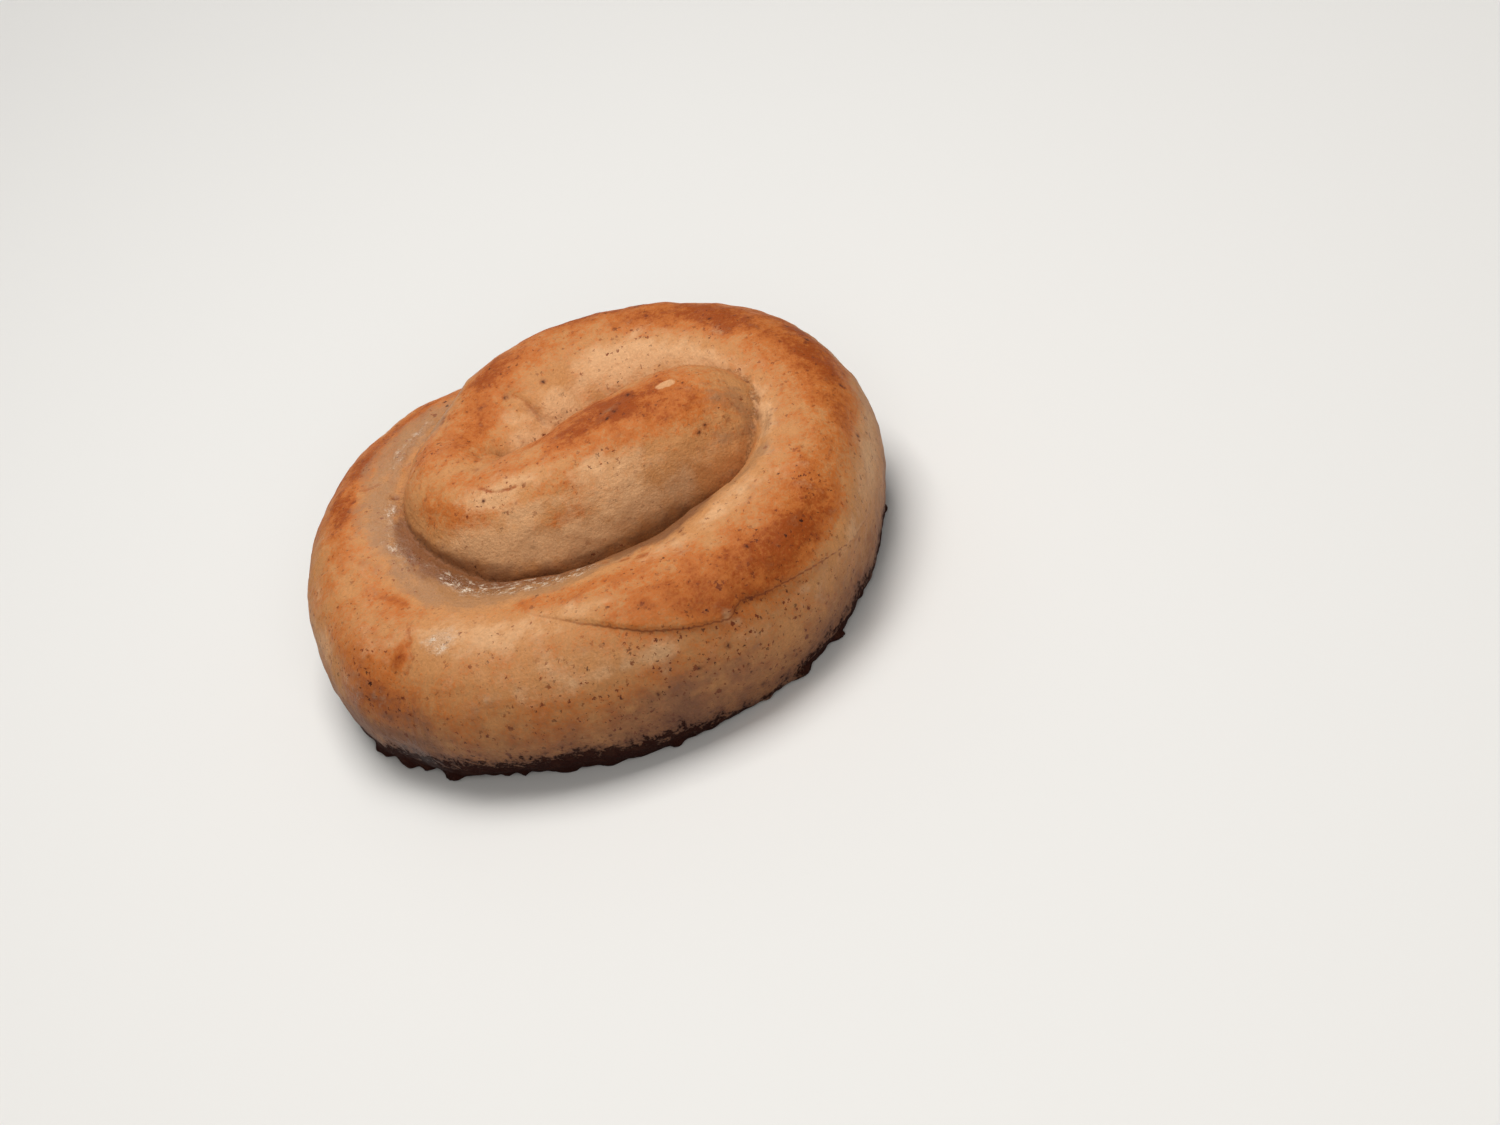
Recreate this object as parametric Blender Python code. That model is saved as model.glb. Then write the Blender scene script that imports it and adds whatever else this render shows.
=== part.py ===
"""A coiled filo pastry: one filled roll wound into a round and lying flat on its base.

Metres, +Z up. The origin lies under the middle of the coil, on the plane that it rests on.
"""

import math
import random

import bmesh
import bpy
import numpy as np
from mathutils import Vector, noise

MM = 0.001

# The roll, from its tucked outer end to its free inner end, in millimetres. A station gives
# the crest in plan, how far the roll reaches outwards and inwards from that crest, the
# height of the crest, how far the foot of its outer side draws in, and how round its inner
# shoulder is (2 is an ellipse, less is a slope, more is a flat top with a steep side).
STATIONS = (
    # x, y, outward, inward, crest, foot, shoulder
    (-2.0, 56.0, 8.0, 8.0, 30.0, 4.0, 2.4),   # outer end, tucked under the ring
    (-18.0, 56.5, 12.5, 12.0, 34.5, 4.0, 2.6),
    (-33.0, 50.0, 15.0, 18.0, 35.0, 4.5, 2.5),
    (-46.0, 36.0, 16.5, 20.0, 34.8, 5.0, 2.5),
    (-51.5, 16.0, 17.2, 22.0, 34.2, 5.5, 2.4),   # left
    (-49.5, -6.0, 20.2, 25.0, 33.0, 2.0, 2.2),
    (-40.0, -23.0, 22.8, 24.0, 32.5, 4.7, 2.0),
    (-23.0, -34.0, 23.2, 26.0, 33.5, 5.8, 1.8),
    (-2.0, -39.5, 22.5, 24.0, 35.0, 4.0, 1.9),   # front
    (20.0, -38.5, 20.0, 23.0, 36.0, 3.0, 2.1),
    (39.5, -28.5, 16.2, 18.0, 37.0, 3.5, 2.3),
    (50.0, -14.0, 14.0, 15.0, 38.5, 3.5, 2.3),
    (53.0, 5.0, 17.6, 16.0, 40.0, 5.5, 2.3),   # right
    (49.0, 25.0, 17.4, 18.0, 42.0, 5.0, 2.3),
    (37.5, 40.5, 17.5, 22.0, 42.0, 4.0, 2.2),
    (17.0, 49.0, 17.0, 24.0, 43.6, 5.0, 2.1),   # back
    (-5.0, 46.0, 17.2, 26.0, 44.4, 5.0, 2.1),
    (-20.0, 34.4, 14.6, 24.0, 41.4, 4.0, 2.1),
    (-26.5, 20.0, 15.0, 21.0, 44.0, 3.0, 2.0),   # the turn into the middle
    (-21.5, 6.0, 15.5, 22.0, 44.5, 2.0, 2.0),
    (-6.0, 1.0, 16.5, 24.0, 45.5, 0.0, 2.1),
    (12.0, 3.5, 17.5, 24.0, 47.0, 0.0, 2.2),   # the tongue
    (32.0, 6.0, 17.0, 20.0, 46.0, 0.0, 2.3),
    (51.0, 6.0, 14.0, 14.0, 40.0, 0.0, 2.3),   # its free end
)
CENTRE = (0.22, 3.37)   # the middle of the stations' plan, which is put over the origin

WAIST = 0.42   # height of the widest part of the roll, as a share of the crest's
TOP_POWER = 2.3   # roundness of the top of the outer side
LOW_POWER = 4.5   # squareness of the bottom edges
LOW_SPREAD = 9.0   # how much wider the roll is pressed under its neighbour, inside the coil
FOOT_POWER = 1.5   # how late the foot of the outer side draws in
BELOW = 5.0   # how far the sections run on below the base before it is cut flat
TAIL_LENGTH = 14.0   # lengths over which the two ends of the roll close
TONGUE_LENGTH = 16.0
CLOSING_POWER = 2.2   # bluntness of the two ends
END_WIDTH, END_HEIGHT = 0.05, 0.35   # what is left of the section at the very ends
CURVE_POINTS = 24   # between two stations
RING_STEP = 1.2   # spacing of the sections along the roll
SIDES = 96   # points round a section

# The edge of the outermost sheet, a step round the front of the coil: how far along the roll,
# and how far up the outer side. Angles are degrees round the section: 0 is the outer side at
# the waist, 90 the crest and 180 the inner side.
SEAM = ((132.0, 96.0), (143.0, 80.0), (152.5, 64.0), (161.0, 48.0), (168.0, 38.0), (175.0, 30.0),
        (177.8, 36.0), (181.0, 31.0), (192.0, 21.0), (204.0, 8.0), (214.0, 0.0))
SEAM_RISE = 1.0
SEAM_EDGE = 2.5   # degrees over which the step rises, and over which it fades out above
SEAM_FADE = 45.0
SEAM_STARTS, SEAM_ENDS = 30.0, 14.0   # lengths over which it begins and ends

# Soft dents and, with a negative depth, swellings: how far along the roll, angle, half length,
# half angle, depth.
DENTS = (
    (113.0, 28.0, 5.0, 34.0, 1.6),   # an upright fold at the left of the front
    (331.0, 125.0, 2.6, 17.0, 1.2),   # folds where the roll bends round into the middle
    (311.5, 131.0, 3.0, 13.0, 0.9),
    (322.0, 130.0, 5.0, 12.0, -0.6),
    (341.0, 128.0, 5.0, 13.0, -0.7),
    (353.0, 126.0, 4.0, 10.0, 1.0),
    (361.0, 114.0, 4.5, 7.0, 0.7),
    (369.0, 103.0, 4.5, 6.0, 0.5),
    (58.9, 110.0, 1.2, 3.5, 0.9),   # a pit
)

# Uneven rises and hollows of the crust: size across, height.
SWELLS = ((26.0, 0.9), (11.0, 0.5), (4.5, 0.2))
BURNT_HEIGHT = 6.0   # the crust is rough and burnt up to about this height
BURNT_ROUGHNESS = 0.55
BURNT_GRAIN = 2.6

# Burnt lumps at the foot of the front, how far along the roll and size, and smaller crumbs
# round the rest of the outside.
LUMPS = ((102.5, 1.7), (107.2, 2.4), (111.5, 1.6), (116.0, 3.0), (127.4, 1.9), (130.0, 1.4),
         (138.2, 2.4), (145.4, 1.9), (159.0, 1.5))
CRUMBS = 26
CRUMB_SIZE = (0.8, 2.5)
CRUMB_SCATTER = 1.4   # how uneven their spacing is
CRUMB_INSET = (0.6, 1.1)   # how far the middle of a crumb lies inside the foot, in its own size
CRUMB_HEIGHT = (0.2, 0.8)   # and above the base
CRUMB_STRETCH = (0.9, 1.5)
CRUMB_SEED = 11
OUTER_TURN = (14.0, 335.0)   # the length of the roll whose outer side is the outside of the coil

VOXEL = 1.1
SOFTENING = 3
TRIANGLES = 17500   # before the base is cut off, which takes a good third of them
CUT_SIZE = 400.0

CRUST_COLOUR = (0.50, 0.22, 0.075, 1.0)
CRUST_ROUGHNESS = 0.5


def smooth_path(rows, step):
    """Samples a Catmull-Rom curve through the rows, evenly along its length in plan."""
    rows = np.array(rows, float)
    ends = np.vstack([2 * rows[0] - rows[1], rows, 2 * rows[-1] - rows[-2]])
    shares = np.linspace(0.0, 1.0, CURVE_POINTS, endpoint=False)[:, None]
    spans = [0.5 * (2 * b + (c - a) * shares + (2 * a - 5 * b + 4 * c - d) * shares**2
                    + (3 * b - a - 3 * c + d) * shares**3)
             for a, b, c, d in zip(ends, ends[1:], ends[2:], ends[3:])]
    fine = np.vstack(spans + [rows[-1:]])
    along = np.concatenate([[0.0], np.cumsum(np.hypot(*np.diff(fine[:, :2], axis=0).T))])
    wanted = np.linspace(0.0, along[-1], int(along[-1] / step) + 1)
    return wanted, np.column_stack([np.interp(wanted, along, column) for column in fine.T])


def closing(distance, length):
    """The rounding of an end: nothing at its point, full size after the given length."""
    share = np.clip(1.0 - distance / length, 0.0, 1.0)
    return np.sqrt(1.0 - share**CLOSING_POWER)


def power_arc(angle, power):
    """A point of the curve |x|^power + |y|^power = 1."""
    cosine, sine = np.cos(angle), np.sin(angle)
    return (np.sign(cosine) * np.abs(cosine) ** (2 / power),
            np.sign(sine) * np.abs(sine) ** (2 / power))


def ease(value):
    """A smooth step from 0 to 1 as the value goes from 0 to 1."""
    value = np.clip(value, 0.0, 1.0)
    return value * value * (3 - 2 * value)


def bell(distance, width):
    return np.exp(-(distance / width) ** 2)


def turned(degrees, centre):
    """The angle from the centre, from -180 to 180."""
    return (degrees - centre + 180.0) % 360.0 - 180.0


def relief(along, degrees):
    """How far the crust stands proud of the smooth roll, round one section."""
    places, heights = np.array(SEAM).T
    above = turned(degrees, 0.0) - np.interp(along, places, heights)
    present = ease((along - places[0]) / SEAM_STARTS) * ease((places[-1] - along) / SEAM_ENDS)
    step = ease(above / SEAM_EDGE) * (1 - ease((above - SEAM_EDGE) / SEAM_FADE))
    lift = SEAM_RISE * present * step
    for place, centre, length, span, depth in DENTS:
        lift -= depth * bell(along - place, length) * bell(turned(degrees, centre), span)
    return lift


class Roll:
    """The centre line of the roll, with its sections."""

    def __init__(self):
        self.along, rows = smooth_path(STATIONS, RING_STEP)
        self.plan = rows[:, :2] - CENTRE
        self.outward, self.inward, self.crest, self.foot, self.shoulder = rows[:, 2:].T
        heading = np.gradient(self.plan, axis=0)
        heading /= np.linalg.norm(heading, axis=1)[:, None]
        self.out = np.column_stack([heading[:, 1], -heading[:, 0]])
        self.close = np.maximum(closing(self.along, TAIL_LENGTH)
                                * closing(self.along[-1] - self.along, TONGUE_LENGTH), END_WIDTH)

    def section(self, i, angles):
        """The outline of one section, as points (x, y, z)."""
        outside = np.cos(angles) > 0
        above = np.sin(angles) >= 0
        power = np.where(above, np.where(outside, TOP_POWER, self.shoulder[i]), LOW_POWER)
        across, up = power_arc(angles, power)
        waist = self.crest[i] * WAIST
        top = (self.crest[i] - waist) * (END_HEIGHT + (1 - END_HEIGHT) * self.close[i])
        z = waist + np.where(above, up * top, up * (waist + BELOW))
        drop = np.clip(1.0 - z / waist, 0.0, None)
        reach = np.where(outside, self.outward[i] - self.foot[i] * drop**FOOT_POWER,
                         self.inward[i] + LOW_SPREAD * np.sqrt(drop))
        side = across * reach * self.close[i]
        normal = np.column_stack([np.gradient(z), -np.gradient(side)])
        normal /= np.linalg.norm(normal, axis=1)[:, None] + 1e-9
        lift = relief(self.along[i], np.degrees(angles)) * self.close[i]
        side = side + normal[:, 0] * lift
        z = z + normal[:, 1] * lift
        return np.column_stack([self.plan[i, 0] + self.out[i, 0] * side,
                                self.plan[i, 1] + self.out[i, 1] * side, z])


def add_crumbs(points, faces, roll):
    """Adds squashed balls along the foot of the outside of the coil."""
    draw = random.Random(CRUMB_SEED)
    ball = bmesh.new()
    bmesh.ops.create_icosphere(ball, subdivisions=2, radius=1.0)
    shape = np.array([v.co for v in ball.verts])
    corners = [tuple(v.index for v in f.verts) for f in ball.faces]
    ball.free()
    start, end = OUTER_TURN
    step = (end - start) / CRUMBS
    spread = [start + step * (k + draw.uniform(-CRUMB_SCATTER, CRUMB_SCATTER))
              for k in range(CRUMBS)]
    crumbs = [(place, draw.uniform(*CRUMB_SIZE)) for place in spread
              if not LUMPS[0][0] < place < LUMPS[-1][0]]
    for place, size in [*LUMPS, *crumbs]:
        i = int(np.argmin(np.abs(roll.along - place)))
        reach = roll.outward[i] - roll.foot[i] - draw.uniform(*CRUMB_INSET) * size
        height = draw.uniform(*CRUMB_HEIGHT) * size
        centre = np.append(roll.plan[i] + roll.out[i] * reach, height)
        stretch = np.array([draw.uniform(*CRUMB_STRETCH), draw.uniform(*CRUMB_STRETCH), 1.0])
        first = len(points)
        points.extend(centre + shape * stretch * size)
        faces.extend(tuple(first + c for c in corner) for corner in corners)


def roll_mesh(roll):
    angles = 2 * math.pi * np.arange(SIDES) / SIDES
    rings = [roll.section(i, angles) for i in range(len(roll.along))]
    faces = []
    for i in range(len(rings) - 1):
        for k in range(SIDES):
            a, b = i * SIDES + k, i * SIDES + (k + 1) % SIDES
            faces.append((a, b, b + SIDES, a + SIDES))
    faces.append(tuple(range(SIDES))[::-1])
    faces.append(tuple(range((len(rings) - 1) * SIDES, len(rings) * SIDES)))
    points = list(np.vstack(rings))
    add_crumbs(points, faces, roll)
    mesh = bpy.data.meshes.new("roll")
    mesh.from_pydata(np.array(points) * MM, [], faces)
    return mesh


def new_object(name, mesh):
    item = bpy.data.objects.new(name, mesh)
    bpy.context.collection.objects.link(item)
    return item


def evaluated_mesh(item):
    bpy.context.view_layer.update()
    graph = bpy.context.evaluated_depsgraph_get()
    mesh = bpy.data.meshes.new_from_object(item.evaluated_get(graph))
    bpy.data.objects.remove(item)
    return mesh


def fused(mesh):
    """Fuses the turns of the roll into one skin and softens the creases between them."""
    holder = new_object("holder", mesh)
    remesh = holder.modifiers.new("Fuse", "REMESH")
    remesh.mode = "VOXEL"
    remesh.voxel_size = VOXEL * MM
    soften = holder.modifiers.new("Soften", "SMOOTH")
    soften.factor = 0.5
    soften.iterations = SOFTENING
    return evaluated_mesh(holder)


def roughen(mesh):
    """Moves the crust in and out by smooth noise, most at the burnt foot."""
    count = len(mesh.vertices)
    places, normals = np.empty(3 * count), np.empty(3 * count)
    mesh.vertices.foreach_get("co", places)
    mesh.vertex_normals.foreach_get("vector", normals)
    places = places.reshape(-1, 3) / MM
    lift = np.zeros(count)
    for size, height in SWELLS:
        lift += [height * noise.noise(Vector(place / size)) for place in places]
    burnt = BURNT_ROUGHNESS * ease(1.0 - places[:, 2] / BURNT_HEIGHT)
    lift += burnt * [noise.noise(Vector(place / BURNT_GRAIN)) for place in places]
    places += normals.reshape(-1, 3) * lift[:, None]
    mesh.vertices.foreach_set("co", (places * MM).ravel())
    mesh.update()


def box(name, size, centre):
    """A closed box, as a cutter."""
    corners = [(x, y, z) for x in (-0.5, 0.5) for y in (-0.5, 0.5) for z in (-0.5, 0.5)]
    faces = [(0, 1, 3, 2), (4, 6, 7, 5), (0, 4, 5, 1), (2, 3, 7, 6), (0, 2, 6, 4), (1, 5, 7, 3)]
    mesh = bpy.data.meshes.new(name)
    mesh.from_pydata([Vector(c) * size * MM + Vector(centre) * MM for c in corners], [], faces)
    return new_object(name, mesh)


def crust_material():
    crust = bpy.data.materials.new("baked_crust")
    crust.use_nodes = True
    shader = crust.node_tree.nodes["Principled BSDF"]
    shader.inputs["Base Color"].default_value = CRUST_COLOUR
    shader.inputs["Roughness"].default_value = CRUST_ROUGHNESS
    shader.inputs["Metallic"].default_value = 0.0
    return crust


def burek():
    """The pastry: the fused roll, thinned to fewer facets and cut flat where it rests."""
    skin = fused(roll_mesh(Roll()))
    roughen(skin)
    skin.shade_smooth()
    skin.materials.append(crust_material())
    piece = new_object("burek", skin)
    thin = piece.modifiers.new("Facets", "DECIMATE")
    thin.ratio = TRIANGLES / (2 * len(skin.polygons))
    table = box("table", CUT_SIZE, (0.0, 0.0, -CUT_SIZE / 2))
    table.hide_render = True
    table.display_type = "WIRE"
    base = piece.modifiers.new("Base", "BOOLEAN")
    base.operation = "DIFFERENCE"
    base.solver = "EXACT"
    base.object = table


for item in list(bpy.data.objects):
    bpy.data.objects.remove(item)
burek()
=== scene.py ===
"""The looks of a coiled filo pastry: its crust, a pale floor, soft studio light and a camera.

The crust is one mesh, worked out like the solid that it replaces but finer. Lengths along the
roll and sizes are in millimetres, angles are degrees round a section of the roll: 0 is its outer
side at the waist, 90 its crest and 180 its inner side.
"""
import math
import random

import bmesh
import bpy
import numpy as np
from mathutils import Matrix, Vector, kdtree, noise


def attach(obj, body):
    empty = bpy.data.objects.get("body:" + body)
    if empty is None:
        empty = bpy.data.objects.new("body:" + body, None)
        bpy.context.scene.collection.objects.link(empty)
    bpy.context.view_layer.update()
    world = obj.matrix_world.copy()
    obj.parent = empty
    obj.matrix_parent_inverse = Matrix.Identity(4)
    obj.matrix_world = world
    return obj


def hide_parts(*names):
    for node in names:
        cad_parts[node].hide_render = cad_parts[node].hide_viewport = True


MM = 0.001

# The roll, from its tucked outer end to its free inner end. A station gives the crest in plan,
# how far the roll reaches outwards and inwards from that crest, the height of the crest, how
# far the foot of its outer side draws in, and how round its inner shoulder is.
STATIONS = (
    # x, y, outward, inward, crest, foot, shoulder
    (-2.0, 56.0, 8.0, 8.0, 30.0, 4.0, 2.4),   # outer end, tucked under the ring
    (-18.0, 56.5, 12.5, 12.0, 34.5, 4.0, 2.6),
    (-33.0, 50.0, 15.0, 18.0, 35.0, 4.5, 2.5),
    (-46.0, 36.0, 16.5, 20.0, 34.8, 5.0, 2.5),
    (-51.5, 16.0, 17.2, 22.0, 34.2, 5.5, 2.4),   # left
    (-49.5, -6.0, 20.2, 25.0, 33.0, 2.0, 2.2),
    (-40.0, -23.0, 22.8, 24.0, 32.5, 4.7, 2.0),
    (-23.0, -34.0, 23.2, 26.0, 33.5, 5.8, 1.8),
    (-2.0, -39.5, 22.5, 24.0, 35.0, 4.0, 1.9),   # front
    (20.0, -38.5, 20.0, 23.0, 36.0, 3.0, 2.1),
    (39.5, -28.5, 16.2, 18.0, 37.0, 3.5, 2.3),
    (50.0, -14.0, 14.0, 15.0, 38.5, 3.5, 2.3),
    (53.0, 5.0, 17.6, 16.0, 40.0, 5.5, 2.3),   # right
    (49.0, 25.0, 17.4, 18.0, 42.0, 5.0, 2.3),
    (37.5, 40.5, 17.5, 22.0, 42.0, 4.0, 2.2),
    (17.0, 49.0, 17.0, 24.0, 43.6, 5.0, 2.1),   # back
    (-5.0, 46.0, 17.2, 26.0, 44.4, 5.0, 2.1),
    (-20.0, 34.4, 14.6, 24.0, 41.4, 4.0, 2.1),
    (-26.5, 20.0, 15.0, 21.0, 44.0, 3.0, 2.0),   # the turn into the middle
    (-21.5, 6.0, 15.5, 22.0, 44.5, 2.0, 2.0),
    (-6.0, 1.0, 16.5, 24.0, 45.5, 0.0, 2.1),
    (12.0, 3.5, 17.5, 24.0, 47.0, 0.0, 2.2),   # the tongue
    (32.0, 6.0, 17.0, 20.0, 46.0, 0.0, 2.3),
    (51.0, 6.0, 14.0, 14.0, 40.0, 0.0, 2.3),   # its free end
)
CENTRE = (0.22, 3.37)   # the middle of the stations' plan, which is put over the origin
WAIST = 0.42   # height of the widest part of the roll, as a share of the crest's
TOP_POWER = 2.3   # roundness of the top of the outer side
LOW_POWER = 4.5   # squareness of the bottom edges
LOW_SPREAD = 9.0   # how much wider the roll is pressed under its neighbour, inside the coil
FOOT_POWER = 1.5   # how late the foot of the outer side draws in
BELOW = 5.0   # how far the sections would run on below the base
TAIL_LENGTH = 14.0   # lengths over which the two ends of the roll close
TONGUE_LENGTH = 16.0
CLOSING_POWER = 2.2   # bluntness of the two ends
END_WIDTH, END_HEIGHT = 0.05, 0.35   # what is left of the section at the very ends
CURVE_POINTS = 24   # between two stations
RING_STEP = 0.8   # spacing of the sections along the roll
SIDES = 160   # points round a section

# The edge of the outermost sheet round the front: length along the roll, and height in degrees.
SEAM = ((132.0, 96.0), (143.0, 80.0), (152.5, 64.0), (161.0, 48.0), (168.0, 38.0), (175.0, 30.0),
        (177.8, 36.0), (181.0, 31.0), (192.0, 21.0), (204.0, 8.0), (214.0, 0.0))
SEAM_RISE = 1.15   # how far it stands proud
SEAM_EDGE, SEAM_FADE = 1.6, 45.0   # degrees over which it rises, and fades out above
SEAM_STARTS, SEAM_ENDS = 30.0, 14.0   # lengths over which it begins and ends
SEAM_CENTRE, SEAM_SPAN = 50.0, 50.0   # it shows within so many degrees of this angle
SEAM_BLUR = 12.0   # degrees over which it fades out beyond
MM_PER_DEGREE = 0.35   # round the outside of the roll
FAR = 9.0   # further from a line than it matters

# Soft dents and, with a negative depth, swellings: length along the roll, angle, half length,
# half angle, depth.
DENTS = (
    (113.0, 28.0, 5.0, 34.0, 1.6),   # an upright fold at the left of the front
    (331.0, 125.0, 2.6, 17.0, 1.2),   # folds where the roll bends round into the middle
    (311.5, 131.0, 3.0, 13.0, 0.9),
    (322.0, 130.0, 5.0, 12.0, -0.6),
    (341.0, 128.0, 5.0, 13.0, -0.7),
    (353.0, 126.0, 4.0, 10.0, 1.0),
    (361.0, 114.0, 4.5, 7.0, 0.7),
    (369.0, 103.0, 4.5, 6.0, 0.5),
    (58.9, 110.0, 1.2, 3.5, 0.9),   # a pit
)

# Fine creases of the sheets: points (length along the roll, angle), width, depth, darkness of
# the shade painted along them.
CREASES = (
    (((53.0, 97.0), (56.0, 89.0), (60.0, 84.0), (64.5, 81.0)), 0.45, 0.18, 0.5),
    (((96.0, 87.0), (100.0, 91.0), (104.0, 91.0)), 0.5, 0.15, 0.5),
    (((110.0, 82.0), (112.5, 72.0), (115.0, 62.0), (114.5, 52.0)), 0.6, 0.2, 0.5),
    (((377.0, 78.0), (380.0, 71.0), (384.0, 70.0), (388.0, 75.0)), 0.4, 0.16, 0.8),
    (((340.0, 76.0), (346.0, 84.0), (350.0, 84.0)), 0.4, 0.14, 0.4),
    (((392.0, 112.0), (398.0, 106.0), (404.0, 107.0), (411.0, 112.0)), 0.45, 0.18, 0.35),
    (((20.0, 80.0), (34.0, 100.0), (48.0, 112.0)), 0.6, 0.2, 0.1),
    (((24.0, 74.0), (38.0, 92.0), (52.0, 104.0)), 0.6, 0.2, 0.1),
    (((250.0, 30.0), (268.0, 24.0), (290.0, 30.0)), 0.5, 0.2, 0.4),
    (((156.0, 115.0), (162.0, 106.0), (167.0, 101.0)), 0.7, 0.1, 0.6),
    (((330.0, 108.0), (329.3, 116.0), (330.0, 126.0), (332.5, 136.0)), 0.5, 0.3, 0.35),
    (((353.0, 128.0), (361.0, 116.0), (367.5, 107.0), (373.5, 96.0)), 0.8, 0.3, 0.3),
)

# Small raised flakes of a loose sheet: length along the roll, angle, half length, half angle.
FLAKES = ((424.0, 91.0, 3.2, 3.4),)
FLAKE_RISE = 0.35
FLAKE_STEEPNESS = 3.0   # how quickly it rises from its edge

# Uneven rises and hollows: size across, height.
SWELLS = ((26.0, 0.9), (11.0, 0.5), (4.5, 0.2), (1.9, 0.07))
CRINKLES = ((9.0, 0.16), (4.0, 0.08))   # fine raised veins: size between them, height
CRINKLE_WIDTH = 0.35
BURNT_HEIGHT = 6.0   # how far up the foot is rough
BURNT_ROUGHNESS = 0.55   # height of its roughness
BURNT_GRAIN = 2.6   # size across

# Burnt lumps at the foot of the front, how far along the roll and size, and smaller crumbs
# round the rest of the outside.
LUMPS = ((102.5, 1.7), (107.2, 2.4), (111.5, 1.6), (116.0, 3.0), (127.4, 1.9), (130.0, 1.4),
         (138.2, 2.4), (145.4, 1.9), (159.0, 1.5))
CRUMBS = 26
CRUMB_SIZE = (0.8, 2.5)
CRUMB_SCATTER = 1.4   # how uneven their spacing is
CRUMB_INSET = (0.6, 1.1)   # how far the middle of a crumb lies inside the foot, in its own size
CRUMB_HEIGHT = (0.2, 0.8)   # and above the base
CRUMB_STRETCH = (0.9, 1.5)
CRUMB_SEED = 11
BALL_DETAIL = 3   # subdivisions of a crumb's ball
OUTER_TURN = (14.0, 335.0)   # the length of the roll whose outer side is the outside of the coil

VOXEL = 0.6   # the turns are joined into one skin at this fineness
SOFTENING = {"factor": 0.5, "iterations": 4}
TRIANGLES = 195000   # of the finished crust, at most
HOLLOW_ROUNDS = 30   # how often places are averaged with those beside them to find the hollows
DEEPENING = 0.3   # how much deeper the grooves are than the softened skin has them
STRIDE = 2   # every second section, and every second point of it, is enough to find a place by

# Zones of colour: length along the roll, angle, half length, half angle, strength. Where it is
# browned by the oven, along the crests.
BROWNING = (
    (36.0, 82.0, 22.0, 12.0, 0.9),   # left
    (58.0, 77.0, 12.0, 10.0, 1.3),
    (49.0, 50.0, 15.0, 17.0, 0.65),
    (72.0, 66.0, 18.0, 10.0, 0.2),
    (104.0, 88.0, 12.0, 9.0, 0.4),
    (98.0, 44.0, 14.0, 12.0, 0.5),
    (84.0, 116.0, 12.0, 6.0, 0.8),
    (109.0, 28.0, 10.0, 18.0, 0.75),
    (150.0, 92.0, 14.0, 8.0, 0.5),   # front, above the sheet's edge
    (172.0, 62.0, 18.0, 20.0, 1.0),
    (187.0, 44.0, 14.0, 16.0, 1.7),
    (203.0, 40.0, 12.0, 12.0, 0.35),
    (206.0, 66.0, 14.0, 16.0, 0.3),
    (150.0, 14.0, 36.0, 18.0, 0.25),
    (229.0, 52.0, 14.0, 16.0, 1.1),   # right and back
    (236.0, 68.0, 14.0, 14.0, 0.8),
    (250.0, 62.0, 18.0, 20.0, 1.3),
    (274.0, 82.0, 22.0, 16.0, 1.25),
    (300.0, 72.0, 18.0, 14.0, 1.2),
    (327.0, 86.0, 14.0, 16.0, 1.0),
    (346.0, 99.0, 13.0, 14.0, 0.8),   # the turn into the middle
    (352.0, 70.0, 10.0, 12.0, 0.5),
    (371.0, 57.0, 8.0, 13.0, 0.5),
    (376.0, 84.0, 12.0, 10.0, 0.35),
    (398.0, 108.0, 12.0, 9.0, 0.55),   # the tongue
    (411.0, 92.0, 14.0, 16.0, 1.6),
    (135.0, 95.0, 5.0, 7.0, 0.6),
    (112.5, 62.0, 1.6, 12.0, 1.0),   # small tears at the left
    (101.0, 90.0, 4.0, 3.0, 0.9),
    (391.0, 37.0, 5.0, 6.0, 1.0),
    (395.0, 54.0, 9.0, 14.0, 0.4),
    (424.0, 68.0, 14.0, 14.0, 0.85),
    (437.0, 50.0, 7.0, 16.0, 0.35),
)
# Where it stayed pale, on the inner walls and under the sheet's edge, and where light is painted
# on the outer wall of the tongue.
PALENESS_AND_PAINTED_LIGHT = (
    (130.0, 78.0, 20.0, 14.0, 0.45),
    (186.0, 98.0, 16.0, 9.0, 0.5),
    (150.0, 44.0, 18.0, 14.0, 0.3),
    (158.0, 32.0, 12.0, 6.0, 0.4),
    (151.0, 74.0, 9.0, 8.0, 0.35),
    (177.0, 15.0, 7.0, 8.0, 0.2),
    (196.0, 12.0, 9.0, 8.0, 0.3),
    (228.0, 114.0, 14.0, 10.0, 0.6),
    (266.0, 122.0, 16.0, 14.0, 0.65),
    (292.0, 120.0, 18.0, 14.0, 0.7),
    (322.0, 134.0, 10.0, 12.0, 0.9),
    (343.0, 134.0, 6.0, 8.0, 1.0),
    (384.0, 34.0, 12.0, 14.0, 0.55),
    # this one also paints light on the outer wall of the tongue, where the ring in front shades it
    (402.0, 26.0, 28.0, 16.0, 0.6),
    (385.0, 76.0, 12.0, 8.0, 0.35),
    (399.0, 60.0, 6.0, 8.0, 0.45),
    (387.0, 50.0, 6.0, 6.0, 0.5),
    (119.0, 74.0, 5.0, 14.0, 0.35),
    (93.0, 32.0, 14.0, 16.0, 0.4),
    (380.0, 66.0, 8.0, 8.0, 0.45),
    (335.0, 118.0, 8.0, 8.0, 0.4),
    (404.0, 50.0, 9.0, 9.0, 0.5),
    (222.0, 16.0, 20.0, 16.0, 0.5),
)
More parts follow.
